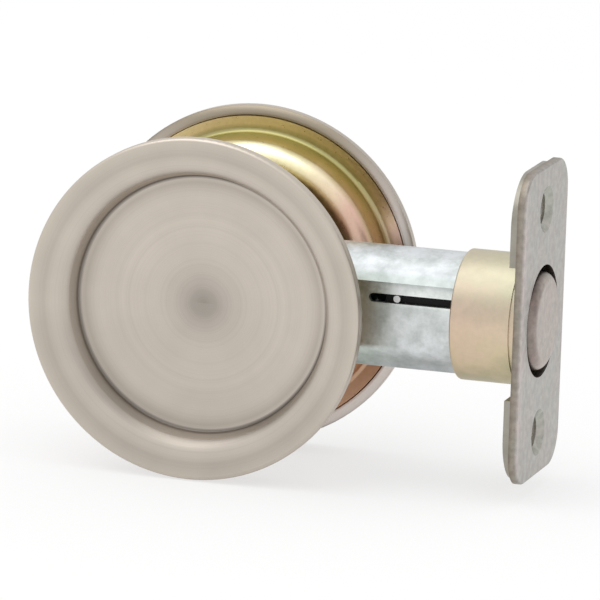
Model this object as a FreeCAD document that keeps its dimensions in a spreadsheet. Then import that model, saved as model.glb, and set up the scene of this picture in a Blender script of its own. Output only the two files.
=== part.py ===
import FreeCAD, Part
import operator
import os
import Sketcher
from FreeCAD import Placement, Rotation, Vector

# Round pocket door pull set: two flush cups joined through the door, and a tubular latch
# whose round plunger springs out of the door's edge to be gripped.
# Origin: centre of the door's cross bore, halfway through the door.
# +X runs to the door's edge, -Y out of the front cup, +Z up. Millimetres.

doc = FreeCAD.newDocument("pocket_door_pull")

# Driving dimensions

SIZES = [
    ("door_thickness", 34.93, "door between the two rims, 1-3/8 inch"),
    ("backset", 60.3, "cross bore to the door's edge, 2-3/8 inch"),
    ("rim_overlap", 5.2, "rim beyond the hub"),
    ("rim_width", 6.65, "rim, from its outer edge to the mouth"),
    ("rim_height", 2.1, "rim's shoulder above the door's face"),
    ("rim_round", 0.7, "round of the rim's outer edge"),
    ("rim_lip", 1.85, "width of the lip rolled in behind the liner"),
    ("shell_wall", 0.6, "sheet of the cups"),
    ("mouth_height", 0.5, "inner edge of the rim above the door's face"),
    ("wall_reach", 1.15, "sloping wall, from the mouth in to the floor's edge"),
    ("floor_edge_depth", 4.0, "floor's edge below the door's face"),
    ("floor_depth", 4.8, "floor's centre below the door's face"),
    ("floor_bend", 0.6, "bend between wall and floor"),
    ("mouth_bend", 3.0, "bend between rim and wall"),
    ("hub_radius", 26.3, "hub in the cross bore"),
    ("hub_depth", 8.0, "hub below the door's face"),
    ("hub_narrowing", 0.4, "hub's wall, from its foot to its corner"),
    ("hub_corner", 3.5, "round at the hub's floor"),
    ("hub_foot_round", 0.9, "round where the hub leaves its flange"),
    ("liner_wall", 0.6, "sheet of the liners"),
    ("liner_recess", 0.1, "liner's flange below the rim's lip"),
    ("liner_joggle", 0.35, "radial reach of the joggle that lets its edge pass under the lip"),
    ("lip_gap", 0.1, "liner to the lip"),
    ("liner_edge_gap", 0.2, "liner's edge inside the rolled rim"),
    ("post_inset", 10.3, "screws' axes inside the hub"),
    ("post_radius", 3.0, "threaded posts"),
    ("post_gap", 0.5, "post's end to the rear liner"),
    ("post_bore_depth", 13.0, "threaded bore"),
    ("rivet_radius", 2.2, "post's shank in the front liner"),
    ("rivet_head_radius", 3.3, "its flattened head"),
    ("rivet_head_height", 0.8, "its height"),
    ("screw_radius", 2.0, "screw's thread"),
    ("screw_length", 13.0, "under the head"),
    ("screw_head_radius", 3.4, "screw's head"),
    ("screw_head_height", 2.0, "its height"),
    ("screw_recess_width", 0.9, "cross recess"),
    ("screw_recess_depth", 1.1, "cross recess"),
    ("well_radius", 4.4, "screw well in the rear cup"),
    ("fit_gap", 0.05, "between a shank and its hole"),
    ("case_radius", 11.2, "round top of the latch case"),
    ("case_flat_inset", 2.0, "its flat sides inside its radius"),
    ("case_bend_inset", 0.27, "lower ends of the flat sides inside its radius"),
    ("case_corner_proud", 0.15, "underside's corners outside its radius, before they are rounded"),
    ("case_wall", 1.0, "sheet of the latch case"),
    ("case_seam", 0.3, "gap where the case's sheet closes underneath"),
    ("case_bend", 1.5, "outer bends of the underside"),
    ("slot_length", 17.4, "slot in the case's sides"),
    ("slot_width", 1.65, "slot's height"),
    ("slot_height", 3.4, "slot above the axis"),
    ("pin_radius", 0.65, "guide pin"),
    ("pin_inset", 2.4, "guide pin in front of the slide's rear end"),
    ("pin_setback", 5.2, "guide pin from the slot's rear end"),
    ("pin_end_gap", 0.2, "pin's end inside the case's side"),
    ("plate_width", 28.575, "faceplate, 1-1/8 inch"),
    ("plate_height", 57.15, "faceplate, 2-1/4 inch"),
    ("plate_thickness", 1.5, "faceplate"),
    ("plate_corner", 6.35, "faceplate's corners, 1/4 inch"),
    ("plate_edge_round", 0.4, "round of its front edge"),
    ("plate_screw_inset", 7.925, "screw holes from the plate's ends, 1-5/8 inch apart"),
    ("plate_hole_radius", 3.1, "screw holes in the faceplate"),
    ("countersink", 1.2, "depth of the countersinks"),
    ("backplate_hole_radius", 2.4, "screw holes in the ears"),
    ("opening_radius", 10.3, "round opening for the plunger"),
    ("backplate_thickness", 1.2, "ears behind the faceplate"),
    ("backplate_margin", 0.3, "ears inside the faceplate's outline"),
    ("backplate_corner", 9.0, "corners of the ears"),
    ("ear_start", 12.2, "ears' inner edges from the axis"),
    ("neck_half_width", 5.5, "neck from the ears to the sleeve"),
    ("sleeve_wall", 0.8, "sleeve round the plunger"),
    ("sleeve_length", 5.6, "sleeve behind the backplate"),
    ("collar_wall", 0.65, "collar"),
    ("collar_gap", 0.1, "collar over the case"),
    ("collar_length", 11.5, "collar behind the backplate"),
    ("collar_notch", 9.6, "collar's notches above and below the axis"),
    ("collar_relief", 0.3, "collar's front lips, set in from its outside"),
    ("collar_relief_start", 0.4, "set-in part behind the backplate"),
    ("collar_round", 0.4, "round of the collar's rear edge"),
    ("pull_radius", 9.0, "plunger's head"),
    ("pull_proud", 1.0, "plunger's face in front of the faceplate"),
    ("pull_head_length", 4.3, "plunger's head"),
    ("pull_round", 1.8, "round of its front edge"),
    ("pull_back_chamfer", 0.5, "rear edge of the head"),
    ("neck_radius", 5.0, "plunger's neck"),
    ("neck_length", 11.0, "plunger's neck"),
    ("stud_radius", 2.5, "plunger's end in the slide"),
    ("stud_length", 3.5, "plunger's end in the slide"),
    ("slide_gap", 0.3, "slide inside the case"),
    ("slide_length", 13.0, "slide"),
    ("spring_bore_radius", 4.0, "spring's pocket in the slide"),
    ("spring_bore_depth", 8.5, "spring's pocket in the slide"),
    ("spring_drop", 2.5, "spring's axis below the case's axis"),
    ("spring_radius", 3.3, "spring, to the wire's centre"),
    ("wire_radius", 0.35, "spring's wire"),
    ("spring_turns", 7, "spring's turns"),
    ("tail_end_inset", 1.3, "tail's end inside the hubs' outline"),
    ("tail_gap", 0.3, "tail to the hubs' floors"),
    ("tail_wall", 1.2, "sheet of the tail"),
    ("tail_height", 11.6, "tail's height"),
    ("tail_corner", 4.0, "corners of the tail's end"),
    ("tail_slot_length", 8.0, "slots for the posts"),
    ("tail_slot_radius", 3.4, "their half width"),
    ("plug_length", 2.3, "tail's plug in the case"),
    ("plug_gap", 0.1, "plug inside the case"),
    ("spring_room", 8.0, "plug to the slide's rear end"),
    ("spring_peg_radius", 2.5, "peg inside the spring"),
    ("spring_peg_length", 3.0, "peg inside the spring"),
    ("cut_margin", 1.0, "cuts run this far past what they open"),
]

sheet = doc.addObject("Spreadsheet::Sheet", "Sizes")
for row, (alias, number, note) in enumerate(SIZES, 1):
    sheet.set("A%d" % row, note)
    sheet.set("B%d" % row, str(number))
    sheet.setAlias("B%d" % row, alias)
doc.recompute()


WORK = {"+": operator.add, "-": operator.sub, "*": operator.mul, "/": operator.truediv}


class Size:
    """A length with the sheet expression that gives it, so that sketches stay tied to the sheet."""

    def __init__(self, number, text):
        self.number = number
        self.text = text

    def __add__(self, other):
        return combine(self, "+", other)

    def __sub__(self, other):
        return combine(self, "-", other)

    def __mul__(self, other):
        return combine(self, "*", other)

    def __truediv__(self, other):
        return combine(self, "/", other)

    def __neg__(self):
        return combine(0, "-", self)


def as_size(value):
    if isinstance(value, Size):
        return value
    return Size(float(value), repr(float(value)))


def combine(left, sign, right):
    left = as_size(left)
    right = as_size(right)
    number = WORK[sign](left.number, right.number)
    return Size(number, "(%s %s %s)" % (left.text, sign, right.text))


def square(value):
    return value * value


def root(value):
    return Size(value.number ** 0.5, "sqrt(%s)" % value.text)


def size(alias):
    return Size(float(sheet.get(alias)), "Sizes.%s" % alias)


HALF_BEND = root(as_size(2)) - 1    # tangent of half a 45 degree bend

rim_radius = size("hub_radius") + size("rim_overlap")
mouth_radius = rim_radius - size("rim_width")
floor_radius = mouth_radius - size("wall_reach")
post_reach = size("hub_radius") - size("post_inset")
face_x = size("backset")
backplate_front = face_x - size("plate_thickness")
backplate_rear = backplate_front - size("backplate_thickness")
sleeve_rear = backplate_rear - size("sleeve_length")
case_front = sleeve_rear - size("plug_gap")
pull_front = face_x + size("pull_proud")
neck_front = pull_front - size("pull_head_length")
slide_front = neck_front - size("neck_length")
slide_rear = slide_front - size("slide_length")
plug_front = slide_rear - size("spring_room")
case_rear = plug_front - size("plug_length")
hub_floor_y = size("door_thickness") / 2 - size("hub_depth")
liner_floor_depth = size("hub_depth") - size("liner_wall")
pin_x = slide_rear + size("pin_inset")
slot_start = pin_x - size("pin_setback")
case_half_width = size("case_radius") - size("case_flat_inset")


# Helpers for bodies, sketches and features

def origin_plane(body, role):
    return [item for item in body.Origin.OriginFeatures if item.Role == role][0]


def new_body(label):
    body = doc.addObject("PartDesign::Body", label)
    body.Label = label
    return body


def new_sketch(body, name, role, offset=None):
    """A sketch on one of the body's own planes, moved along the plane's normal by the offset."""
    sketch = body.newObject("Sketcher::SketchObject", body.Label + "_" + name)
    sketch.AttachmentSupport = (origin_plane(body, role), [""])
    sketch.MapMode = "FlatFace"
    if offset is not None:
        sketch.setExpression("AttachmentOffset.Base.z", offset.text)
    return sketch


def tie(sketch, kind, geometry, value, *places):
    """One driving constraint, bound to its sheet expression."""
    index = sketch.addConstraint(Sketcher.Constraint(kind, *places, *geometry, value.number))
    sketch.setExpression("Constraints[%d]" % index, value.text)


def pin_point(sketch, geometry, vertex, u, v):
    """Fix a point of a sketch from its origin; a plain zero puts it on the axis."""
    for kind, place, axis in (("DistanceX", u, -2), ("DistanceY", v, -1)):
        if place.text == as_size(0).text:
            sketch.addConstraint(Sketcher.Constraint("PointOnObject", geometry, vertex, axis))
        else:
            tie(sketch, kind, (geometry, vertex), place, -1, 1)


def arc_between(start, end, radius, turn):
    """The short arc from start to end; turn is 1 for anticlockwise and -1 for clockwise."""
    chord = end - start
    middle = (start + end) * 0.5
    rise = max(radius ** 2 - (chord.Length / 2) ** 2, 0) ** 0.5
    normal = Vector(-chord.y, chord.x, 0).normalize()
    centre = middle + normal * rise * turn
    bulge = middle - centre
    if bulge.Length < 1e-6:
        bulge = normal * -turn
    top = centre + bulge.normalize() * radius
    return Part.Arc(start, top, end)


def outline(sketch, corners):
    """Close a profile. A corner is (u, v), or (u, v, radius, turn) when an arc leads to it."""
    corners = [[as_size(item) for item in corner[:3]] + list(corner[3:]) for corner in corners]
    points = [Vector(corner[0].number, corner[1].number, 0) for corner in corners]
    ends = []
    for at, corner in enumerate(corners):
        start = points[at - 1]
        if len(corner) == 2:
            edge = sketch.addGeometry(Part.LineSegment(start, points[at]), False)
            ends.append((edge, 1, 2))
        else:
            arc = arc_between(start, points[at], corner[2].number, corner[3])
            edge = sketch.addGeometry(arc, False)
            ends.append((edge, 1, 2) if corner[3] > 0 else (edge, 2, 1))
    for at, corner in enumerate(corners):
        before = ends[at]
        after = ends[(at + 1) % len(ends)]
        sketch.addConstraint(Sketcher.Constraint("Coincident", before[0], before[2], after[0], after[1]))
        pin_point(sketch, before[0], before[2], corner[0], corner[1])
        if len(corner) == 4:
            tie(sketch, "Radius", (before[0],), corner[2])


def circle(sketch, u, v, radius):
    u, v, radius = as_size(u), as_size(v), as_size(radius)
    centre = Vector(u.number, v.number, 0)
    edge = sketch.addGeometry(Part.Circle(centre, Vector(0, 0, 1), radius.number), False)
    pin_point(sketch, edge, 3, u, v)
    tie(sketch, "Radius", (edge,), radius)


def rounded_box(sketch, half_width, half_height, corner):
    """A rectangle about the origin with round corners."""
    inner_u = half_width - corner
    inner_v = half_height - corner
    outline(sketch, [
        (inner_u, -half_height),
        (half_width, -inner_v, corner, 1),
        (half_width, inner_v),
        (inner_u, half_height, corner, 1),
        (-inner_u, half_height),
        (-half_width, inner_v, corner, 1),
        (-half_width, -inner_v),
        (-inner_u, -half_height, corner, 1),
    ])


def box(sketch, left, bottom, right, top):
    outline(sketch, [(left, bottom), (right, bottom), (right, top), (left, top)])


def oblong(sketch, left, right, middle, radius):
    """A slot from left to right, with round ends."""
    outline(sketch, [
        (right - radius, middle - radius),
        (right, middle, radius, 1),
        (right - radius, middle + radius, radius, 1),
        (left + radius, middle + radius),
        (left, middle, radius, 1),
        (left + radius, middle - radius, radius, 1),
    ])


def revolve(body, sketch, axis):
    feature = body.newObject("PartDesign::Revolution", sketch.Name + "_turned")
    feature.Profile = sketch
    feature.ReferenceAxis = (sketch, [axis])
    feature.Angle = 360
    sketch.Visibility = False
    doc.recompute()
    return feature


def pad(body, sketch, length, both=False, reversed_way=False):
    feature = body.newObject("PartDesign::Pad", sketch.Name + "_pad")
    feature.Profile = sketch
    feature.setExpression("Length", as_size(length).text)
    feature.SideType = "Symmetric" if both else "One side"
    feature.Reversed = reversed_way
    sketch.Visibility = False
    doc.recompute()
    return feature


def pocket(body, sketch, length=None, both=False, reversed_way=False):
    """A cut along the sketch's normal, right through unless a length is given."""
    before = body.Shape.Volume
    feature = body.newObject("PartDesign::Pocket", sketch.Name + "_cut")
    feature.Profile = sketch
    if length is None:
        feature.Type = "ThroughAll"
    else:
        feature.setExpression("Length", as_size(length).text)
    feature.SideType = "Symmetric" if both else "One side"
    feature.Reversed = reversed_way
    sketch.Visibility = False
    doc.recompute()
    if body.Shape.Volume >= before:
        raise RuntimeError(feature.Name + " cuts nothing")
    return feature


def edge_names(shape, wanted):
    return ["Edge%d" % (at + 1) for at, edge in enumerate(shape.Edges) if wanted(edge)]


def fillet(body, base, names, radius):
    feature = body.newObject("PartDesign::Fillet", base.Name + "_round")
    feature.Base = (base, names)
    feature.setExpression("Radius", as_size(radius).text)
    doc.recompute()
    return feature


def chamfer(body, base, names, width):
    feature = body.newObject("PartDesign::Chamfer", base.Name + "_bevel")
    feature.Base = (base, names)
    feature.setExpression("Size", as_size(width).text)
    doc.recompute()
    return feature


def is_ring(edge, radius, along=None, at=None):
    """True for a round edge of this radius, at this place along an axis (0, 1 or 2)."""
    if edge.Degenerated or not isinstance(edge.Curve, Part.Circle):
        return False
    if abs(edge.Curve.Radius - radius) > 0.01:
        return False
    return along is None or abs(edge.Curve.Center[along] - at) < 0.01


def place_on_door(body, front):
    """Cups and liners are drawn with the door's face at Y = 0 and their mouth towards -Y."""
    if front:
        body.Placement = Placement(Vector(0, 0, 0), Rotation(Vector(0, 0, 1), 0))
        body.setExpression("Placement.Base.y", (-(size("door_thickness") / 2)).text)
    else:
        body.Placement = Placement(Vector(0, 0, 0), Rotation(Vector(0, 0, 1), 180))
        body.setExpression("Placement.Base.y", (size("door_thickness") / 2).text)


# Cups

def dish_radius(reach, rise):
    """Radius of the arc that rises this far over this reach."""
    return (reach * reach + rise * rise) / (rise * 2)


def cup(label, front):
    """Spun shell: dished floor, sloping wall, crowned rim and the lip rolled in behind it."""
    wall = size("shell_wall")
    rim = rim_radius
    mouth = mouth_radius
    mouth_y = -size("mouth_height")
    floor = floor_radius
    edge_y = size("floor_edge_depth")
    centre_y = size("floor_depth")
    round_ = size("rim_round")
    shoulder = rim - round_
    top_y = -size("rim_height")
    crown = dish_radius(shoulder - mouth, mouth_y - top_y)
    back_mouth = mouth + wall * 0.86
    back_mouth_y = mouth_y + wall * 0.65
    back_floor = floor + wall * 0.79
    back_edge_y = edge_y + wall * 0.95
    rise = centre_y - edge_y
    back_rise = centre_y + wall - back_edge_y
    lip_inner = rim - size("rim_lip")
    body = new_body(label)
    sketch = new_sketch(body, "profile", "XY_Plane")
    outline(sketch, [
        (0, centre_y),
        (floor, edge_y, dish_radius(floor, rise), -1),
        (mouth, mouth_y),
        (shoulder, top_y, crown, 1),
        (rim, top_y + round_, round_, 1),
        (rim, 0),
        (lip_inner, 0),
        (lip_inner, -wall),
        (rim - wall, -wall),
        (rim - wall, top_y + round_),
        (shoulder, top_y + wall, round_ - wall, -1),
        (back_mouth, back_mouth_y, crown - wall, -1),
        (back_floor, back_edge_y),
        (0, centre_y + wall, dish_radius(back_floor, back_rise), 1),
    ])
    shell = revolve(body, sketch, "V_Axis")
    bends = edge_names(shell.Shape, lambda edge: is_ring(edge, floor.number, 1, edge_y.number))
    shell = fillet(body, shell, bends, size("floor_bend"))
    bends = edge_names(shell.Shape, lambda edge: is_ring(edge, mouth.number, 1, mouth_y.number))
    fillet(body, shell, bends, size("mouth_bend"))
    place_on_door(body, front)
    return body


def screw_wells(body):
    """Two flat-bottomed wells that carry the screws' heads on the liner's floor."""
    sketch = new_sketch(body, "wells", "XZ_Plane", -liner_floor_depth)
    for side in (-1, 1):
        circle(sketch, post_reach * side, 0, size("well_radius"))
    feature = pad(body, sketch, liner_floor_depth)
    feature.Type = "UpToFirst"
    doc.recompute()
    sketch = new_sketch(body, "well_hollows", "XZ_Plane", size("shell_wall") - liner_floor_depth)
    for side in (-1, 1):
        circle(sketch, post_reach * side, 0, size("well_radius") - size("shell_wall"))
    pocket(body, sketch, reversed_way=True)
    sketch = new_sketch(body, "screw_holes", "XZ_Plane", -size("hub_depth"))
    for side in (-1, 1):
        circle(sketch, post_reach * side, 0, size("screw_radius") + size("fit_gap") * 4)
    pocket(body, sketch, reversed_way=True)


def liner(label, front, hole_radius):
    """Stamped liner: flange behind the rim and a round hub that enters the cross bore."""
    wall = size("liner_wall")
    hub = size("hub_radius")
    corner = size("hub_corner")
    foot = size("hub_foot_round")
    flange_y = -size("liner_recess")
    flange_top = flange_y - wall
    edge = rim_radius - size("shell_wall") - size("liner_edge_gap")
    edge_y = -(size("shell_wall") + size("lip_gap"))
    step = rim_radius - size("rim_lip") - size("lip_gap")
    narrow = hub - size("hub_narrowing")
    depth = size("hub_depth")
    body = new_body(label)
    sketch = new_sketch(body, "profile", "XY_Plane")
    outline(sketch, [
        (0, depth),
        (0, depth - wall),
        (narrow - corner, depth - wall),
        (narrow - wall, depth - corner, corner - wall, -1),
        (hub - wall, flange_y + foot),
        (hub + foot, flange_top, foot + wall, 1),
        (step - size("liner_joggle"), flange_top),
        (step - wall / 4, edge_y - wall),
        (edge, edge_y - wall),
        (edge, edge_y),
        (step, edge_y),
        (step - wall / 4, flange_y),
        (hub + foot, flange_y),
        (hub, flange_y + foot, foot, -1),
        (narrow, depth - corner),
        (narrow - corner, depth, corner, 1),
    ])
    revolve(body, sketch, "V_Axis")
    sketch = new_sketch(body, "holes", "XZ_Plane", -depth)
    for side in (-1, 1):
        circle(sketch, post_reach * side, 0, hole_radius)
    pocket(body, sketch, liner_floor_depth, reversed_way=True)
    place_on_door(body, front)
    return body


# Screws and posts that draw the cups together

def post(label, side):
    """Threaded post on the front liner: flattened rivet head, shank, shoulder and blind bore."""
    rivet = size("rivet_radius")
    radius = size("post_radius")
    seat = -hub_floor_y
    head_y = seat - size("liner_wall")
    end = hub_floor_y - size("post_gap")
    bore = size("screw_radius") + size("fit_gap")
    body = new_body(label)
    sketch = new_sketch(body, "profile", "XY_Plane")
    outline(sketch, [
        (0, head_y - size("rivet_head_height")),
        (size("rivet_head_radius"), head_y - size("rivet_head_height")),
        (size("rivet_head_radius"), head_y),
        (rivet, head_y),
        (rivet, seat),
        (radius, seat),
        (radius, end),
        (bore, end),
        (bore, end - size("post_bore_depth")),
        (0, end - size("post_bore_depth")),
    ])
    revolve(body, sketch, "V_Axis")
    body.setExpression("Placement.Base.x", (post_reach * side).text)
    return body


def screw(label, side):
    """Pan-head machine screw with a cross recess, its head in a well of the rear cup."""
    head = size("screw_head_radius")
    height = size("screw_head_height")
    radius = size("screw_radius")
    seat = size("door_thickness") / 2 - liner_floor_depth + size("shell_wall")
    body = new_body(label)
    sketch = new_sketch(body, "profile", "XY_Plane")
    outline(sketch, [
        (0, -size("screw_length")),
        (radius, -size("screw_length")),
        (radius, 0),
        (head, 0),
        (head, height / 2),
        (head - height / 2, height, height / 2, 1),
        (0, height),
    ])
    revolve(body, sketch, "V_Axis")
    arm = head / 2
    blade = size("screw_recess_width") / 2
    for name, half_x, half_z in (("recess_a", arm, blade), ("recess_b", blade, arm)):
        sketch = new_sketch(body, name, "XZ_Plane", -height)
        box(sketch, -half_x, -half_z, half_x, half_z)
        pocket(body, sketch, size("screw_recess_depth"), reversed_way=True)
    body.setExpression("Placement.Base.x", (post_reach * side).text)
    body.setExpression("Placement.Base.y", seat.text)
    return body


# Latch

def case_corners(inset):
    """Foot of the flat sides, underside and its corner, as heights above the axis and a
    half width, for an outline that lies inside the case's by the inset."""
    foot = -root(square(size("case_radius") - size("case_bend_inset")) - square(case_half_width))
    reach = case_half_width - foot
    corner_radius = size("case_radius") + size("case_corner_proud")
    corner = (reach - root(square(corner_radius) * 2 - square(reach))) / 2
    bottom = corner - reach
    return foot + HALF_BEND * inset, bottom + inset, corner - HALF_BEND * inset


def case_outline(sketch, inset):
    """Section of the latch case: round top, flat sides, 45 degree bends, flat underside."""
    radius = size("case_radius") - inset
    half = case_half_width - inset
    shoulder = root(square(radius) - square(half))
    foot, bottom, corner = case_corners(as_size(inset))
    outline(sketch, [
        (half, shoulder),
        (-half, shoulder, radius, 1),
        (-half, foot),
        (-corner, bottom),
        (corner, bottom),
        (half, foot),
    ])


def underside_bends(shape):
    """The long outer edges where the case's sheet is bent below its flat sides."""
    foot, bottom, corner = case_corners(as_size(0))
    bends = [(case_half_width.number, foot.number), (corner.number, bottom.number)]

    def is_bend(edge):
        span = edge.BoundBox
        if span.YLength > 0.01 or span.ZLength > 0.01:
            return False
        return any(abs(abs(span.Center.y) - y) < 0.01 and abs(span.Center.z - z) < 0.01 for y, z in bends)

    return edge_names(shape, is_bend)


def latch_case():
    """Sheet tube of the latch, with the guide pin's slot in both sides."""
    body = new_body("latch_case")
    sketch = new_sketch(body, "section", "YZ_Plane", case_rear)
    case_outline(sketch, as_size(0))
    tube = pad(body, sketch, case_front - case_rear)
    fillet(body, tube, underside_bends(tube.Shape), size("case_bend"))
    sketch = new_sketch(body, "hollow", "YZ_Plane", case_rear)
    case_outline(sketch, size("case_wall"))
    pocket(body, sketch, reversed_way=True)
    sketch = new_sketch(body, "seam", "YZ_Plane", case_rear)
    box(sketch, -size("case_seam") / 2, -size("case_radius"), size("case_seam") / 2, as_size(0))
    pocket(body, sketch, reversed_way=True)
    sketch = new_sketch(body, "slot", "XZ_Plane")
    slot_end = slot_start + size("slot_length")
    oblong(sketch, slot_start, slot_end, size("slot_height"), size("slot_width") / 2)
    pocket(body, sketch, both=True)
    return body


def latch_tail():
    """Rear closure of the case with a peg for the spring, and a strap between the cups' hubs
    with two slots for the posts."""
    wall = size("tail_wall")
    corner = size("tail_corner")
    half = hub_floor_y - size("tail_gap")
    start = case_rear - wall
    end = size("tail_end_inset") - size("hub_radius")
    body = new_body("latch_tail")
    sketch = new_sketch(body, "flange", "YZ_Plane", start)
    case_outline(sketch, as_size(0))
    pad(body, sketch, wall)
    sketch = new_sketch(body, "plug", "YZ_Plane", case_rear)
    case_outline(sketch, size("case_wall") + size("plug_gap"))
    pad(body, sketch, size("plug_length"))
    sketch = new_sketch(body, "peg", "YZ_Plane", plug_front)
    circle(sketch, 0, -size("spring_drop"), size("spring_peg_radius"))
    pad(body, sketch, size("spring_peg_length"))
    sketch = new_sketch(body, "strap", "XY_Plane")
    outline(sketch, [
        (case_rear, -half),
        (case_rear, half),
        (end + corner, half),
        (end, half - corner, corner, 1),
        (end, corner - half),
        (end + corner, -half, corner, 1),
    ])
    outline(sketch, [
        (start, wall - half),
        (start, half - wall),
        (end + corner, half - wall),
        (end + wall, half - corner, corner - wall, 1),
        (end + wall, corner - half),
        (end + corner, wall - half, corner - wall, 1),
    ])
    pad(body, sketch, size("tail_height"), both=True)
    sketch = new_sketch(body, "post_slots", "XZ_Plane")
    reach = size("tail_slot_length") / 2
    for side in (-1, 1):
        middle = post_reach * side
        oblong(sketch, middle - reach, middle + reach, as_size(0), size("tail_slot_radius"))
    pocket(body, sketch, both=True)
    return body


def latch_collar():
    """Ring round the front of the case; notches in its front edge clear the backplate's neck."""
    inner = size("case_radius") + size("collar_gap")
    outer = inner + size("collar_wall")
    rear = backplate_rear - size("collar_length")
    body = new_body("latch_collar")
    sketch = new_sketch(body, "ring", "YZ_Plane", rear)
    circle(sketch, 0, 0, outer)
    circle(sketch, 0, 0, inner)
    ring = pad(body, sketch, size("collar_length") + size("backplate_thickness"))
    edges = edge_names(ring.Shape, lambda edge: is_ring(edge, outer.number, 0, rear.number))
    fillet(body, ring, edges, size("collar_round"))
    sketch = new_sketch(body, "relief", "YZ_Plane", backplate_rear - size("collar_relief_start"))
    circle(sketch, 0, 0, outer + size("cut_margin"))
    circle(sketch, 0, 0, outer - size("collar_relief"))
    pocket(body, sketch, reversed_way=True)
    sketch = new_sketch(body, "notches", "XZ_Plane")
    edge = outer + size("cut_margin")
    box(sketch, backplate_rear, size("collar_notch"), face_x, edge)
    box(sketch, backplate_rear, -edge, face_x, -size("collar_notch"))
    pocket(body, sketch, both=True)
    return body


# Edge plates

def screw_pair(sketch, radius):
    for side in (-1, 1):
        circle(sketch, 0, (size("plate_height") / 2 - size("plate_screw_inset")) * side, radius)


def backplate():
    """Two ears joined by a neck, and the sleeve that the plunger slides through."""
    half_width = size("plate_width") / 2 - size("backplate_margin")
    half_height = size("plate_height") / 2 - size("backplate_margin")
    body = new_body("backplate")
    sketch = new_sketch(body, "outline", "YZ_Plane", backplate_rear)
    rounded_box(sketch, half_width, half_height, size("backplate_corner"))
    pad(body, sketch, size("backplate_thickness"))
    sketch = new_sketch(body, "waist", "YZ_Plane", backplate_rear)
    ear = size("ear_start")
    neck = size("neck_half_width")
    edge = half_width + size("cut_margin")
    box(sketch, neck, -ear, edge, ear)
    box(sketch, -edge, -ear, -neck, ear)
    pocket(body, sketch, reversed_way=True)
    sketch = new_sketch(body, "sleeve", "YZ_Plane", sleeve_rear)
    circle(sketch, 0, 0, size("opening_radius") + size("sleeve_wall"))
    pad(body, sketch, size("sleeve_length") + size("backplate_thickness"))
    sketch = new_sketch(body, "bore", "YZ_Plane", sleeve_rear)
    circle(sketch, 0, 0, size("opening_radius"))
    pocket(body, sketch, reversed_way=True)
    sketch = new_sketch(body, "screw_holes", "YZ_Plane", backplate_rear)
    screw_pair(sketch, size("backplate_hole_radius"))
    pocket(body, sketch, reversed_way=True)
    return body


def faceplate():
    """Plate let into the door's edge: countersunk holes and the plunger's opening."""
    body = new_body("faceplate")
    sketch = new_sketch(body, "outline", "YZ_Plane", backplate_front)
    rounded_box(sketch, size("plate_width") / 2, size("plate_height") / 2, size("plate_corner"))
    plate = pad(body, sketch, size("plate_thickness"))
    rim = edge_names(plate.Shape, lambda edge: edge.BoundBox.XMin > face_x.number - 0.01)
    fillet(body, plate, rim, size("plate_edge_round"))
    sketch = new_sketch(body, "opening", "YZ_Plane", backplate_front)
    circle(sketch, 0, 0, size("opening_radius"))
    pocket(body, sketch, reversed_way=True)
    sketch = new_sketch(body, "screw_holes", "YZ_Plane", backplate_front)
    hole = size("plate_hole_radius")
    screw_pair(sketch, hole)
    cut = pocket(body, sketch, reversed_way=True)
    mouths = edge_names(cut.Shape, lambda edge: is_ring(edge, hole.number, 0, face_x.number))
    chamfer(body, cut, mouths, size("countersink"))
    return body


# Edge pull, which springs out of the faceplate

def edge_pull():
    """Plunger: round-edged head, neck to hook the fingers behind, and an end held in the slide."""
    radius = size("pull_radius")
    round_ = size("pull_round")
    bevel = size("pull_back_chamfer")
    stud_end = slide_front - size("stud_length")
    body = new_body("edge_pull")
    sketch = new_sketch(body, "profile", "XY_Plane")
    outline(sketch, [
        (stud_end, 0),
        (pull_front, 0),
        (pull_front, radius - round_),
        (pull_front - round_, radius, round_, 1),
        (neck_front + bevel, radius),
        (neck_front, radius - bevel),
        (neck_front, size("neck_radius")),
        (slide_front, size("neck_radius")),
        (slide_front, size("stud_radius")),
        (stud_end, size("stud_radius")),
    ])
    revolve(body, sketch, "H_Axis")
    return body


def pull_slide():
    """Block that runs in the case behind the plunger and holds the guide pin and the spring."""
    body = new_body("pull_slide")
    sketch = new_sketch(body, "section", "YZ_Plane", slide_rear)
    case_outline(sketch, size("case_wall") + size("slide_gap"))
    pad(body, sketch, size("slide_length"))
    sketch = new_sketch(body, "spring_bore", "YZ_Plane", slide_rear)
    circle(sketch, 0, -size("spring_drop"), size("spring_bore_radius"))
    pocket(body, sketch, size("spring_bore_depth"), reversed_way=True)
    sketch = new_sketch(body, "stud_hole", "YZ_Plane", slide_front)
    circle(sketch, 0, 0, size("stud_radius") + size("fit_gap"))
    pocket(body, sketch, size("stud_length") + size("fit_gap"))
    sketch = new_sketch(body, "pin_hole", "XZ_Plane")
    circle(sketch, pin_x, size("slot_height"), size("pin_radius") + size("fit_gap"))
    pocket(body, sketch, both=True)
    return body


def guide_pin():
    """Cross pin of the slide; its ends run in the case's slots."""
    body = new_body("guide_pin")
    sketch = new_sketch(body, "section", "XZ_Plane")
    circle(sketch, pin_x, size("slot_height"), size("pin_radius"))
    pad(body, sketch, (case_half_width - size("pin_end_gap")) * 2, both=True)
    return body


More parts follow.
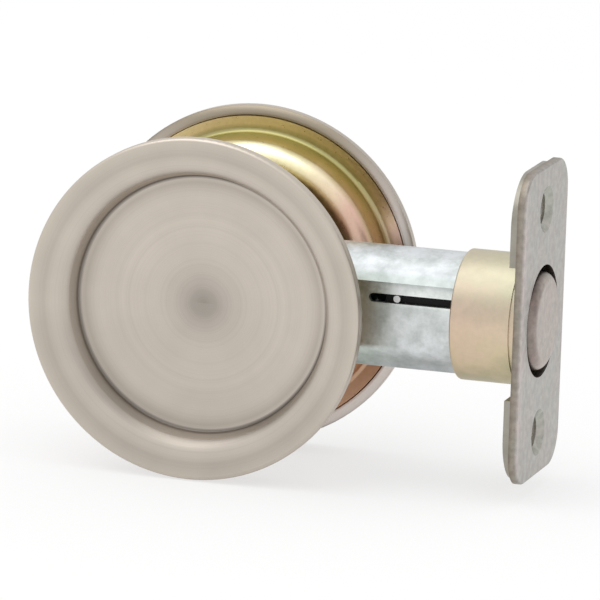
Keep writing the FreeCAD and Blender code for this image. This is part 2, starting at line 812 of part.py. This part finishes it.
def pull_spring():
    """Compression spring between the tail's plug and the bottom of the slide's bore."""
    wire = size("wire_radius").number
    radius = size("spring_radius").number
    start = plug_front.number + wire + size("fit_gap").number
    end = slide_rear.number + size("spring_bore_depth").number - wire - size("fit_gap").number
    height = end - start
    coil = Part.makeHelix(height / size("spring_turns").number, height, radius)
    section = Part.Wire(Part.makeCircle(wire, Vector(radius, 0, 0), Vector(0, 1, 0)))
    solid = Part.Wire(coil.Edges).makePipeShell([section], True, True)
    spring = doc.addObject("Part::Feature", "pull_spring")
    spring.Shape = solid
    drop = Vector(start, 0, -size("spring_drop").number)
    spring.Placement = Placement(drop, Rotation(Vector(0, 1, 0), 90))
    return spring


# Build

parts = [
    cup("front_cup", True),
    cup("rear_cup", False),
    liner("front_liner", True, size("rivet_radius") + size("fit_gap")),
    liner("rear_liner", False, size("screw_radius") + size("fit_gap") * 4),
    post("post_by_latch", 1),
    post("post_by_tail_end", -1),
    screw("screw_by_latch", 1),
    screw("screw_by_tail_end", -1),
    latch_case(),
    latch_tail(),
    latch_collar(),
    backplate(),
    faceplate(),
    edge_pull(),
    pull_slide(),
    guide_pin(),
    pull_spring(),
]
screw_wells(parts[1])

doc.recompute()
for item in doc.Objects:
    if "Invalid" in item.State or "Error" in item.State:
        raise RuntimeError("%s failed: %s" % (item.Name, item.State))
for item in parts:
    if item.Shape.isNull() or not item.Shape.isValid() or len(item.Shape.Solids) != 1:
        raise RuntimeError("%s has no valid single solid" % item.Label)

os.makedirs("parts", exist_ok=True)
for item in parts:
    item.Shape.exportStep("parts/%s.step" % item.Label)
    print("%-20s volume %10.1f" % (item.Label, item.Shape.Volume))
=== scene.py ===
import math

import bpy
from mathutils import Matrix, Vector


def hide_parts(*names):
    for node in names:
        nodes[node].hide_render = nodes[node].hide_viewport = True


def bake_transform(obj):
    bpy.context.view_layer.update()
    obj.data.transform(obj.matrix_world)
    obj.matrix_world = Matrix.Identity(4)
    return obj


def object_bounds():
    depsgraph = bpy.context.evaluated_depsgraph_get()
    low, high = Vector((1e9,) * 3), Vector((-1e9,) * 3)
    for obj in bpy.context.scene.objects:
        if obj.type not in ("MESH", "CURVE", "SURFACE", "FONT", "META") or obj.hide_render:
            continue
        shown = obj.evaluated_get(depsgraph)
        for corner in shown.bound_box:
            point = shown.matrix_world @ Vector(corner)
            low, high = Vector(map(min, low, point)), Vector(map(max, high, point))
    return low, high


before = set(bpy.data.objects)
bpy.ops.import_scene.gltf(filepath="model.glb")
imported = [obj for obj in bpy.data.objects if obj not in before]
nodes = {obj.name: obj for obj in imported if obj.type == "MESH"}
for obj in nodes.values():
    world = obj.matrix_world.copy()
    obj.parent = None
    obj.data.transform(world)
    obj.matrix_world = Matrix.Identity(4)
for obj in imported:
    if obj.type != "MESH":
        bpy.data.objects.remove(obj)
cad_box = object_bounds()
scene = bpy.context.scene
scene.view_settings.view_transform = "Standard"

MM = 0.001


# Camera: angles in degrees, distance and shifts in mm

CAMERA_TURN = 17.05
CAMERA_RISE = 12.04
CAMERA_ROLL = 1.93
CAMERA_DISTANCE = 1400
CAMERA_ASIDE = 13.68
CAMERA_BELOW = 1.83
CAMERA_LENS = 458.87


def place_camera():
    """A long lens from the right and a little above, rolled as the photograph is."""
    turn, rise, roll = (math.radians(angle) for angle in (CAMERA_TURN, CAMERA_RISE, CAMERA_ROLL))
    look = Vector((-math.sin(turn) * math.cos(rise), math.cos(turn) * math.cos(rise), -math.sin(rise)))
    level = Vector((math.cos(turn), math.sin(turn), 0))
    upright = level.cross(look)
    right = level * math.cos(roll) + upright * math.sin(roll)
    up = upright * math.cos(roll) - level * math.sin(roll)
    place = (right * CAMERA_ASIDE - up * CAMERA_BELOW - look * CAMERA_DISTANCE) * MM
    data = bpy.data.cameras.new("camera")
    data.lens = CAMERA_LENS
    data.sensor_width = 36
    data.clip_end = 100
    camera = bpy.data.objects.new("camera", data)
    camera.matrix_world = Matrix((
        (right.x, up.x, -look.x, place.x),
        (right.y, up.y, -look.y, place.y),
        (right.z, up.z, -look.z, place.z),
        (0, 0, 0, 1),
    ))
    scene.collection.objects.link(camera)
    scene.camera = camera


# Node helpers

def add(tree, kind, inputs=None, **settings):
    """A shader node; inputs may be plain values or other nodes' outputs."""
    node = tree.nodes.new(kind)
    for key, value in settings.items():
        setattr(node, key, value)
    for key, value in (inputs or {}).items():
        if isinstance(value, bpy.types.NodeSocket):
            tree.links.new(value, node.inputs[key])
        else:
            node.inputs[key].default_value = value
    return node


def new_material(name):
    """A material that starts as plain metal, with its node tree and its shader."""
    material = bpy.data.materials.new(name)
    material.use_nodes = True
    tree = material.node_tree
    tree.nodes.clear()
    shader = add(tree, "ShaderNodeBsdfPrincipled", {"Metallic": 1.0})
    output = add(tree, "ShaderNodeOutputMaterial")
    tree.links.new(shader.outputs[0], output.inputs["Surface"])
    return material, tree, shader


def maths(tree, operation, first, second=0.0, clamp=False):
    values = {0: first, 1: second}
    return add(tree, "ShaderNodeMath", values, operation=operation, use_clamp=clamp).outputs[0]


def product(tree, first, *others):
    for other in others:
        first = maths(tree, "MULTIPLY", first, other)
    return first


def less(tree, mask, share):
    """One, less this share of it where the mask is one."""
    return maths(tree, "SUBTRACT", 1.0, maths(tree, "MULTIPLY", mask, share))


def scaled(tree, place, factors):
    values = {0: place, 1: factors}
    return add(tree, "ShaderNodeVectorMath", values, operation="MULTIPLY").outputs[0]


def place_in_mm(tree):
    coordinates = add(tree, "ShaderNodeTexCoord").outputs["Object"]
    return scaled(tree, coordinates, (1000, 1000, 1000))


def axis_value(tree, place, axis):
    return add(tree, "ShaderNodeSeparateXYZ", {0: place}).outputs["XYZ".index(axis)]


def facing(tree, axis):
    """How far the surface faces along an axis, from -1 to 1."""
    return axis_value(tree, add(tree, "ShaderNodeTexCoord").outputs["Normal"], axis)


def distance_from(tree, place, axis):
    """Distance from the X or Y axis."""
    keep = (0, 1, 1) if axis == "X" else (1, 0, 1)
    flat = scaled(tree, place, keep)
    return add(tree, "ShaderNodeVectorMath", {0: flat}, operation="LENGTH").outputs["Value"]


def noise(tree, place, scale, detail=2.0, roughness=0.5):
    values = {"Vector": place, "Scale": scale, "Detail": detail, "Roughness": roughness}
    return add(tree, "ShaderNodeTexNoise", values).outputs[0]


def rings(tree, radius, scale, detail):
    """Uneven rings about an axis."""
    values = {"W": radius, "Scale": scale, "Detail": detail}
    return add(tree, "ShaderNodeTexNoise", values, noise_dimensions="1D").outputs[0]


def spread(tree, value, low, high, new_low=0.0, new_high=1.0, kind="LINEAR"):
    """The span from low to high carried to the new one, and held at its ends."""
    values = {"Value": value, "From Min": low, "From Max": high, "To Min": new_low, "To Max": new_high}
    return add(tree, "ShaderNodeMapRange", values, interpolation_type=kind).outputs[0]


def vary(tree, pattern, low, high):
    """A noise, most of which lies between 0.3 and 0.7, carried to low and high."""
    return spread(tree, pattern, 0.3, 0.7, low, high)


def ramp(tree, factor, stops):
    node = add(tree, "ShaderNodeValToRGB", {0: factor})
    elements = node.color_ramp.elements
    for at, (position, colour) in enumerate(stops):
        element = elements[at] if at < 2 else elements.new(position)
        element.position = position
        element.color = (*colour, 1)
    return node.outputs[0]


def mix(tree, factor, first, second, kind="MIX"):
    node = add(tree, "ShaderNodeMix", data_type="RGBA", blend_type=kind)
    factor_in, first_in, second_in = (node.inputs[at] for at in (0, 6, 7))
    for socket, value in ((factor_in, factor), (first_in, first), (second_in, second)):
        if isinstance(value, bpy.types.NodeSocket):
            tree.links.new(value, socket)
        elif isinstance(value, tuple):
            socket.default_value = (*value, 1)
        else:
            socket.default_value = value
    return node.outputs[2]


def multiply(tree, first, second):
    return mix(tree, 1.0, first, second, "MULTIPLY")


def tinted(tree, tone, colour):
    """A colour made lighter and darker by a number near one."""
    grey = add(tree, "ShaderNodeCombineColor", {0: tone, 1: tone, 2: tone}).outputs[0]
    return multiply(tree, grey, colour)


def finish(tree, shader, colour, roughness, relief, strength, distance):
    """Join a material's colour, gloss and relief to its shader."""
    tree.links.new(colour, shader.inputs["Base Color"])
    tree.links.new(roughness, shader.inputs["Roughness"])
    values = {"Height": relief, "Strength": strength, "Distance": distance}
    tree.links.new(add(tree, "ShaderNodeBump", values).outputs[0], shader.inputs["Normal"])


# Materials

WHITE = (1.0, 1.0, 1.0)
NICKEL = (0.60, 0.54, 0.475)

# Depth of a material's relief, in metres
FINE_RELIEF = 0.0001
PLATE_RELIEF = 0.00004

# Each pair below is the span over which a tint, painted light or a relief comes in or fades: places,
# radii or depths in mm, but for the two facings.

# Cups: radii about their axis, and depths below the door's face, which lies at DOOR_FACE
DOOR_FACE = 17.465
ZONES_END = 32.0
# LOWER_HALF, WALL_FROM_FLOOR to WALL_LOW_HEIGHTS and the FOOT_ spans place painted shade: on the cups'
# lower half, on the wall's foot and lowest part, and in a thin line in the bend at the wall's foot.
LOWER_HALF = (-29.0, 0.0)
WALL_FROM_FLOOR = (23.1, 23.5)
WALL_TO_RIM = (25.6, 24.9)
WALL_FOOT_DEPTHS = (1.0, 3.8)
WALL_LOW_HEIGHTS = (-8.0, -20.0)
WALL_CURVE_DEPTHS = (4.1, -1.6)
WALL_CURVE_RISE = -1.35
FOOT_RADIUS = 23.65
FOOT_LINE_HALF_WIDTH = (0.5, 0.15)
FOOT_LINE_DEPTHS = (2.9, 3.3)
LIP_START = (29.5, 29.6)
LIP_FACING = (-0.2, -0.6)
# The rolled lip's painted shade deepens over LIP_HEIGHTS.
LIP_HEIGHTS = (12.0, 28.0)
LIP_CURVE_START = 29.8
LIP_CURVE = -0.28
GROOVES_START = (2.0, 5.0)
GROOVE_DEPTH = 0.003

# Faceplate and plunger
# PLATE_DEPTHS and PLATE_BACK_FACING place painted shade on the plate's edges and back, the span after
# them a painted highlight, and the PULL_ spans painted shade on the plunger's rounded edge.
PLATE_DEPTHS = (58.8, 60.3)
PLATE_BACK_FACING = (-0.6, -0.9)
EDGE_HIGHLIGHT_SIDE = (-10.8, -13.6)
SCREW_HOLE_HEIGHT = 20.65
COUNTERSINK_REACH = (4.2, 4.5)
PULL_ROUNDING = (6.9, 9.0)
PULL_DARK_ROUNDING = (8.2, 8.9)
PULL_DARK_HEIGHTS = (4.0, 6.5)

# Liners, collar and case
# Several of these spans place painted light: painted shade and highlights on the liners and the
# collar, and painted shade, a highlight and a reflection of the liners on the case.
LINER_BANDS = (20.0, 32.0)
LINER_FLANGE_START = (26.0, 27.0)
COLLAR_HEIGHTS = (-12.0, 12.0)
COLLAR_LENGTH = (47.0, 57.0)
CASE_HEIGHTS = (-10.5, 10.0)
CASE_NEAR_CUP = (29.0, 36.0)
CASE_ROUND_TOP = (6.5, 8.0)
SLOT_BAND_TOP = (6.4, 5.2)
SLOT_BAND_FOOT = (2.0, 2.5)
SLOT_BAND_START = (34.0, 39.0)
STRIP_FOOT = (5.6, 6.6)
STRIP_TOP = (8.2, 7.4)


def spun_nickel():
    """Satin nickel of the cups, brushed in rings about their axis."""
    material, tree, shader = new_material("spun_nickel")
    place = place_in_mm(tree)
    radius = distance_from(tree, place, "Y")
    across = axis_value(tree, place, "Y")
    deep = maths(tree, "SUBTRACT", DOOR_FACE, maths(tree, "ABSOLUTE", across))
    height = axis_value(tree, place, "Z")
    broad = vary(tree, rings(tree, radius, 0.5, 2.0), 0.965, 1.03)
    fine = vary(tree, rings(tree, radius, 5.0, 3.0), 0.975, 1.025)
    mottle = vary(tree, noise(tree, place, 0.12, 3.0), 0.97, 1.03)
    # Painted shade: the cups darken over their lower half.
    lower_shade = spread(tree, height, *LOWER_HALF, 0.89, 1.0)
    tone = product(tree, broad, fine, mottle, lower_shade, wall_painted_shade(tree, radius, deep, height))
    # Painted light by radius: a painted dark reflection at the spun floor's centre, painted shade in a
    # ring near the floor's edge and in a band across the rim's outer part.
    radial_painted_light = ramp(tree, maths(tree, "DIVIDE", radius, ZONES_END), [
        (0.0, (0.53, 0.54, 0.54)),
        (0.06, (0.66, 0.665, 0.67)),
        (0.125, (0.82, 0.82, 0.825)),
        (0.20, (0.93, 0.93, 0.93)),
        (0.34, WHITE),
        (0.64, WHITE),
        (0.70, (0.82, 0.81, 0.80)),
        (0.73, (0.95, 0.95, 0.95)),
        (0.82, WHITE),
        (0.89, (0.90, 0.90, 0.89)),
        (0.97, (0.98, 0.98, 0.97)),
    ])
    colour = multiply(tree, tinted(tree, tone, NICKEL), radial_painted_light)
    lip = rolled_lip(tree, radius, across)
    # Painted shade on the rolled lip, darkening and browning it towards its top.
    lip_colour = ramp(tree, spread(tree, height, *LIP_HEIGHTS), [
        (0.0, (0.70, 0.63, 0.59)),
        (1.0, (0.36, 0.31, 0.24)),
    ])
    colour = mix(tree, lip, colour, lip_colour)
    rough = vary(tree, rings(tree, radius, 3.0, 3.0), 0.34, 0.42)
    grooved = spread(tree, radius, *GROOVES_START)
    grooves = product(tree, rings(tree, radius, 6.0, 2.0), grooved, GROOVE_DEPTH)
    form = maths(tree, "ADD", grooves, wall_curve(tree, deep))
    form = maths(tree, "ADD", form, product(tree, lip_curve(tree, radius), lip))
    finish(tree, shader, colour, rough, form, 1.0, MM)
    return material


def wall_painted_shade(tree, radius, deep, height):
    """Painted shade: the cup's wall is darkest where it meets the floor, and darker at its lowest
    part.
    """
    wall = product(tree, spread(tree, radius, *WALL_FROM_FLOOR), spread(tree, radius, *WALL_TO_RIM))
    foot = product(tree, wall, spread(tree, deep, *WALL_FOOT_DEPTHS))
    low = product(tree, wall, spread(tree, height, *WALL_LOW_HEIGHTS))
    return product(tree, less(tree, foot, 0.25), foot_shade_line(tree, radius, deep), less(tree, low, 0.22))


def foot_shade_line(tree, radius, deep):
    """A thin line of painted shade in the bend between the cup's wall and its floor."""
    beside = maths(tree, "ABSOLUTE", maths(tree, "SUBTRACT", radius, FOOT_RADIUS))
    thin = spread(tree, beside, *FOOT_LINE_HALF_WIDTH)
    line = product(tree, thin, spread(tree, deep, *FOOT_LINE_DEPTHS))
    return less(tree, line, 0.42)


def wall_curve(tree, deep):
    """Relief in mm that eases the straight wall into the rim, as a spun wall does."""
    return spread(tree, deep, *WALL_CURVE_DEPTHS, 0.0, WALL_CURVE_RISE, "SMOOTHSTEP")


def rolled_lip(tree, radius, across):
    """One on the shell's lip, rolled in on the door's side, and zero elsewhere."""
    outward = product(tree, facing(tree, "Y"), maths(tree, "SIGN", across))
    return product(tree, spread(tree, radius, *LIP_START), spread(tree, outward, *LIP_FACING))


def lip_curve(tree, radius):
    """Relief in mm that rounds the rolled lip outwards."""
    past = maths(tree, "MAXIMUM", maths(tree, "SUBTRACT", radius, LIP_CURVE_START), 0.0)
    return product(tree, past, past, LIP_CURVE)


def brushed_nickel(name, tint, tone_at):
    """Satin nickel of the faceplate and the plunger; tone_at tints their edges and holes, with painted
    shade and a painted highlight.
    """
    material, tree, shader = new_material(name)
    place = place_in_mm(tree)
    streaks = noise(tree, scaled(tree, place, (1, 1, 0.06)), 3.0, 2.0, 0.6)
    mottle = noise(tree, place, 0.7, 3.0, 0.6)
    patches = noise(tree, place, 0.22, 3.0, 0.55)
    tone = product(tree, vary(tree, streaks, 0.97, 1.03), spread(tree, mottle, 0.35, 0.65, 0.83, 1.14))
    red, green, blue = tint
    pinker = (red * 1.03, green * 0.97, blue * 0.98)
    tint = mix(tree, spread(tree, patches, 0.35, 0.65), tint, pinker)
    colour = multiply(tree, tinted(tree, tone, tint), tone_at(tree, place))
    finish(tree, shader, colour, vary(tree, mottle, 0.36, 0.46), mottle, 0.2, PLATE_RELIEF)
    return material


def plate_tone(tree, place):
    """Painted shade makes the plate's edges browner than its face and back, darkest towards the back,
    and its back a little darker than its face; a painted highlight lightens the front of its edge on
    the -Y side. Its countersinks are greener.
    """
    depth = spread(tree, axis_value(tree, place, "X"), *PLATE_DEPTHS)
    edge = ramp(tree, depth, [
        (0.0, (0.54, 0.48, 0.42)),
        (0.35, (0.68, 0.62, 0.55)),
        (0.75, (0.74, 0.70, 0.66)),
        (0.99, WHITE),
    ])
    across = axis_value(tree, place, "Y")
    # Painted highlight along the front of the plate's edge on the -Y side.
    edge_highlight = product(tree, spread(tree, across, *EDGE_HIGHLIGHT_SIDE), spread(tree, depth, 0.75, 0.98))
    edge = multiply(tree, edge, mix(tree, edge_highlight, WHITE, (1.18, 1.10, 1.11)))
    # Painted shade on the plate's back.
    edge = mix(tree, spread(tree, facing(tree, "X"), *PLATE_BACK_FACING), edge, (0.95, 0.95, 0.94))
    height = maths(tree, "ABSOLUTE", axis_value(tree, place, "Z"))
    lifted = maths(tree, "SUBTRACT", height, SCREW_HOLE_HEIGHT)
    squares = maths(tree, "ADD", product(tree, lifted, lifted), product(tree, across, across))
    reach = maths(tree, "SQRT", squares)
    return mix(tree, spread(tree, reach, *COUNTERSINK_REACH), (1.0, 1.04, 1.0), edge)


def pull_tone(tree, place):
    """Painted shade: the plunger's rounded edge is browner than its face at the sides, and darkest at
    the top, in the shadow of the gap above it.
    """
    radius = distance_from(tree, place, "X")
    edge = ramp(tree, spread(tree, radius, *PULL_ROUNDING), [
        (0.0, WHITE),
        (0.35, (0.80, 0.76, 0.75)),
        (0.9, (0.60, 0.55, 0.54)),
    ])
    across = maths(tree, "DIVIDE", maths(tree, "ABSOLUTE", axis_value(tree, place, "Y")), radius)
    tone = mix(tree, spread(tree, across, 0.35, 0.8), (1.02, 1.0, 0.99), edge)
    # Painted shadow of the gap over the top of the rounded edge.
    dark = ramp(tree, spread(tree, radius, *PULL_DARK_ROUNDING), [
        (0.0, WHITE),
        (1.0, (0.35, 0.33, 0.32)),
    ])
    above = spread(tree, axis_value(tree, place, "Z"), *PULL_DARK_HEIGHTS)
    return multiply(tree, tone, mix(tree, above, WHITE, dark))


def liner_chromate():
    """Yellow chromated liner: gold flange, greener foot, cream to pink hub, browner below. Painted
    shade darkens the hub's floor and wall, the bend at its foot and its lower side; a painted
    highlight lightens its rounded corner.
    """
    material, tree, shader = new_material("liner_chromate")
    place = place_in_mm(tree)
    radius = distance_from(tree, place, "Y")
    clouds = noise(tree, place, 0.1)
    grain = noise(tree, place, 1.2, 3.0, 0.55)
    band = spread(tree, maths(tree, "ADD", radius, vary(tree, clouds, -0.25, 0.25)), *LINER_BANDS)
    # Bands run out from the hub's floor, over its rounded corner, wall and the bend at its foot, to
    # the flange. Their hues are the chromate's own; painted shade darkens the hub's floor, its wall
    # and the bend at its foot, and a painted highlight lightens the rounded corner.
    upper = ramp(tree, band, [
        (0.15, (0.50, 0.40, 0.18)),
        (0.25, (0.80, 0.70, 0.40)),
        (0.43, (1.0, 0.95, 0.66)),
        (0.49, (0.56, 0.46, 0.20)),
        (0.54, (0.44, 0.41, 0.18)),
        (0.59, (0.40, 0.36, 0.17)),
        (0.64, (0.54, 0.47, 0.23)),
        (0.68, (0.73, 0.60, 0.31)),
        (0.85, (0.73, 0.60, 0.34)),
    ])
    side = ramp(tree, band, [
        (0.15, (0.44, 0.30, 0.16)),
        (0.25, (0.72, 0.50, 0.38)),
        (0.43, (0.82, 0.55, 0.44)),
        (0.49, (0.54, 0.40, 0.20)),
        (0.54, (0.50, 0.38, 0.20)),
        (0.59, (0.62, 0.46, 0.34)),
        (0.66, (0.86, 0.60, 0.50)),
        (0.85, (0.84, 0.58, 0.52)),
    ])
    slope = maths(tree, "DIVIDE", axis_value(tree, place, "Z"), radius)
    turned = maths(tree, "ADD", slope, vary(tree, clouds, -0.08, 0.08))
    turned = maths(tree, "ADD", turned, spread(tree, radius, *LINER_FLANGE_START, 0.0, 0.3))
    colour = mix(tree, spread(tree, turned, 0.9, 0.58), upper, side)
    # Browner and darker below: the brown is the chromate's tint, the darkening painted shade.
    colour = mix(tree, spread(tree, slope, 0.0, -0.5), colour, (0.56, 0.36, 0.24))
    colour = tinted(tree, vary(tree, grain, 0.96, 1.04), colour)
    finish(tree, shader, colour, vary(tree, grain, 0.27, 0.35), clouds, 0.1, FINE_RELIEF)
    return material


def collar_chromate():
    """Pale chromate of the collar, straw above and pinker at its middle. Painted shade darkens it
    towards the bottom and in a band a little below its top.
    """
    material, tree, shader = new_material("collar_chromate")
    place = place_in_mm(tree)
    clouds = noise(tree, place, 0.16, 3.0, 0.55)
    grain = noise(tree, place, 1.0, 3.0, 0.55)
    height = maths(tree, "ADD", axis_value(tree, place, "Z"), vary(tree, clouds, -3.0, 3.0))
    # Painted shade by height: darker towards the bottom and in the band at 0.80.
    colour = ramp(tree, spread(tree, height, *COLLAR_HEIGHTS), [
        (0.05, (0.49, 0.45, 0.29)),
        (0.25, (0.66, 0.56, 0.38)),
        (0.50, (0.69, 0.56, 0.42)),
        (0.68, (0.59, 0.50, 0.38)),
        (0.80, (0.52, 0.49, 0.36)),
        (0.92, (0.59, 0.56, 0.41)),
    ])
    along = spread(tree, axis_value(tree, place, "X"), *COLLAR_LENGTH)
    colour = mix(tree, along, multiply(tree, colour, (1.0, 0.95, 0.98)), colour)
    colour = tinted(tree, vary(tree, grain, 0.96, 1.04), colour)
    finish(tree, shader, colour, vary(tree, grain, 0.38, 0.46), clouds, 0.1, FINE_RELIEF)
    return material


def zinc(name, light, dark, rough=(0.34, 0.46), tone_at=None):
    """Zinc plate with soft cloudy blotches; tone_at tints its places."""
    material, tree, shader = new_material(name)
    place = place_in_mm(tree)
    blotches = noise(tree, place, 0.32, 3.0, 0.5)
    grain = noise(tree, place, 1.4, 3.0, 0.6)
    factor = maths(tree, "ADD", product(tree, blotches, 0.7), product(tree, grain, 0.3))
    colour = ramp(tree, factor, [(0.36, dark), (0.6, light)])
    if tone_at is not None:
        colour = multiply(tree, colour, tone_at(tree, place))
    finish(tree, shader, colour, vary(tree, grain, *rough), blotches, 0.3, FINE_RELIEF)
    return material


def case_tone(tree, place):
    """Painted light on the case: painted shade darkens its foot and a band a little below its top, and
    a painted reflection of the liners makes it a darker grey-green beside the cups.
    On its side a painted highlight lightens it along the slot and painted shade darkens a strip above
    it."""
    along = axis_value(tree, place, "X")
    height = axis_value(tree, place, "Z")
    # Painted shade by height: darker at the foot and in a band a little below the top.
    foot = ramp(tree, spread(tree, height, *CASE_HEIGHTS), [
        (0.0, (0.66, 0.67, 0.68)),
        (0.13, (0.72, 0.73, 0.72)),
        (0.2, (0.96, 0.97, 0.97)),
        (0.75, (0.98, 1.0, 0.98)),
        (0.86, (0.84, 0.85, 0.86)),
        (0.93, (0.72, 0.73, 0.74)),
        (0.99, (0.96, 0.97, 0.98)),
    ])
    # Painted reflection of the liners: a darker grey-green beside the cups, kept off the round top.
    side_painted_light = ramp(tree, spread(tree, along, *CASE_NEAR_CUP), [
        (0.0, (0.84, 0.90, 0.83)),
        (1.0, WHITE),
    ])
    side_painted_light = mix(tree, spread(tree, height, *CASE_ROUND_TOP), side_painted_light, WHITE)
    # Painted highlight along the slot.
    band = product(tree, spread(tree, height, *SLOT_BAND_TOP), spread(tree, height, *SLOT_BAND_FOOT))
    band = product(tree, band, spread(tree, along, *SLOT_BAND_START))
    side_painted_light = mix(tree, band, side_painted_light, (1.22, 1.22, 1.20))
    # Painted shade in a strip above the slot.
    strip_shade = product(tree, spread(tree, height, *STRIP_FOOT), spread(tree, height, *STRIP_TOP), 0.6)
    side_painted_light = mix(tree, strip_shade, side_painted_light, (0.72, 0.77, 0.72))
    return multiply(tree, foot, side_painted_light)


def near_black_slide():
    """A near-black, rough, non-metallic material for the slide, which darkens the slot it shows
    through.
    """
    material, tree, shader = new_material("near_black_slide")
    shader.inputs["Metallic"].default_value = 0.0
    shader.inputs["Specular IOR Level"].default_value = 0.2
    grain = noise(tree, place_in_mm(tree), 1.5, 3.0, 0.6)
    colour = ramp(tree, grain, [(0.3, (0.004, 0.004, 0.004)), (0.7, (0.009, 0.009, 0.009))])
    tree.links.new(colour, shader.inputs["Base Color"])
    tree.links.new(vary(tree, grain, 0.45, 0.6), shader.inputs["Roughness"])
    return material


def give(material, *names):
    for name in names:
        slots = nodes[name].data.materials
        slots.clear()
        slots.append(material)


def dress():
    give(spun_nickel(), "front_cup", "rear_cup")
    give(brushed_nickel("plate_nickel", (0.445, 0.44, 0.41), plate_tone), "faceplate")
    give(brushed_nickel("pull_nickel", (0.46, 0.425, 0.39), pull_tone), "edge_pull")
    give(liner_chromate(), "front_liner", "rear_liner")
    give(collar_chromate(), "latch_collar")
    give(zinc("case_zinc", (0.76, 0.78, 0.79), (0.53, 0.56, 0.55), tone_at=case_tone), "latch_case")
    give(zinc("hardware_zinc", (0.70, 0.71, 0.71), (0.56, 0.57, 0.57)), "latch_tail",
         "post_by_latch", "post_by_tail_end", "screw_by_latch", "screw_by_tail_end", "guide_pin")
    give(zinc("backplate_zinc", (0.38, 0.355, 0.31), (0.31, 0.295, 0.25)), "backplate")
    give(near_black_slide(), "pull_slide")
    give(zinc("spring_steel", (0.50, 0.50, 0.50), (0.40, 0.40, 0.40), (0.35, 0.5)), "pull_spring")


# Spring

def stretch_spring():
    """A copy of the spring between the tail's plug and the slide, with its place baked in, shown
    instead of the imported spring.
    """
    spring = bpy.data.objects.new("pull_spring_coils", nodes["pull_spring"].data.copy())
    scene.collection.objects.link(spring)
    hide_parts("pull_spring")
    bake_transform(spring)


# Studio: sizes in metres

FLOOR_REACH = 30
FLOOR_GAP = 0.0002
FLOOR_GLOW = 0.65
LAMP_PLACE = (-0.4, -0.35, 1.5)
LAMP_SIZE = 1.4
LAMP_POWER = 6
BRIGHT_WAY = (-0.35, -0.25, 0.9)


def build_floor():
    """A pale floor that takes soft shadows. To the camera and in reflections it also glows."""
    reach = FLOOR_REACH
    mesh = bpy.data.meshes.new("floor")
    mesh.from_pydata([(-reach, -reach, 0), (reach, -reach, 0), (reach, reach, 0), (-reach, reach, 0)],
                     [], [(0, 1, 2, 3)])
    floor = bpy.data.objects.new("floor", mesh)
    floor.location = (0, 0, cad_box[0][2] - FLOOR_GAP)
    scene.collection.objects.link(floor)
    material = bpy.data.materials.new("floor_white")
    material.use_nodes = True
    tree = material.node_tree
    tree.nodes.clear()
    paint = add(tree, "ShaderNodeBsdfDiffuse", {"Color": (0.9, 0.9, 0.9, 1)})
    glow = add(tree, "ShaderNodeEmission", {"Color": (1, 1, 1, 1), "Strength": 1.0})
    rays = add(tree, "ShaderNodeLightPath").outputs
    seen = maths(tree, "ADD", rays["Is Camera Ray"], rays["Is Glossy Ray"], clamp=True)
    seen = maths(tree, "ADD", seen, rays["Is Transmission Ray"], clamp=True)
    share = product(tree, seen, FLOOR_GLOW)
    blend = add(tree, "ShaderNodeMixShader", {0: share, 1: paint.outputs[0], 2: glow.outputs[0]})
    output = add(tree, "ShaderNodeOutputMaterial")
    tree.links.new(blend.outputs[0], output.inputs["Surface"])
    mesh.materials.append(material)


def build_world():
    """A white room, brightest overhead and a little to the left and the front."""
    world = bpy.data.worlds.new("studio")
    scene.world = world
    world.use_nodes = True
    tree = world.node_tree
    tree.nodes.clear()
    way = add(tree, "ShaderNodeTexCoord").outputs["Generated"]
    values = {0: way, 1: BRIGHT_WAY}
    aim = add(tree, "ShaderNodeVectorMath", values, operation="DOT_PRODUCT").outputs["Value"]
    level = spread(tree, aim, -0.2, 0.9, 0.75, 1.05)
    background = add(tree, "ShaderNodeBackground", {"Color": (1, 1, 1, 1), "Strength": level})
    output = add(tree, "ShaderNodeOutputWorld")
    tree.links.new(background.outputs[0], output.inputs["Surface"])


def hang_lamp():
    """A large soft square lamp above, aimed at the origin."""
    data = bpy.data.lights.new("key", "AREA")
    data.shape = "SQUARE"
    data.size = LAMP_SIZE
    data.energy = LAMP_POWER
    light = bpy.data.objects.new("key", data)
    light.location = LAMP_PLACE
    light.rotation_euler = (-Vector(LAMP_PLACE)).to_track_quat("-Z", "Y").to_euler()
    scene.collection.objects.link(light)


place_camera()
dress()
stretch_spring()
build_floor()
build_world()
hang_lamp()
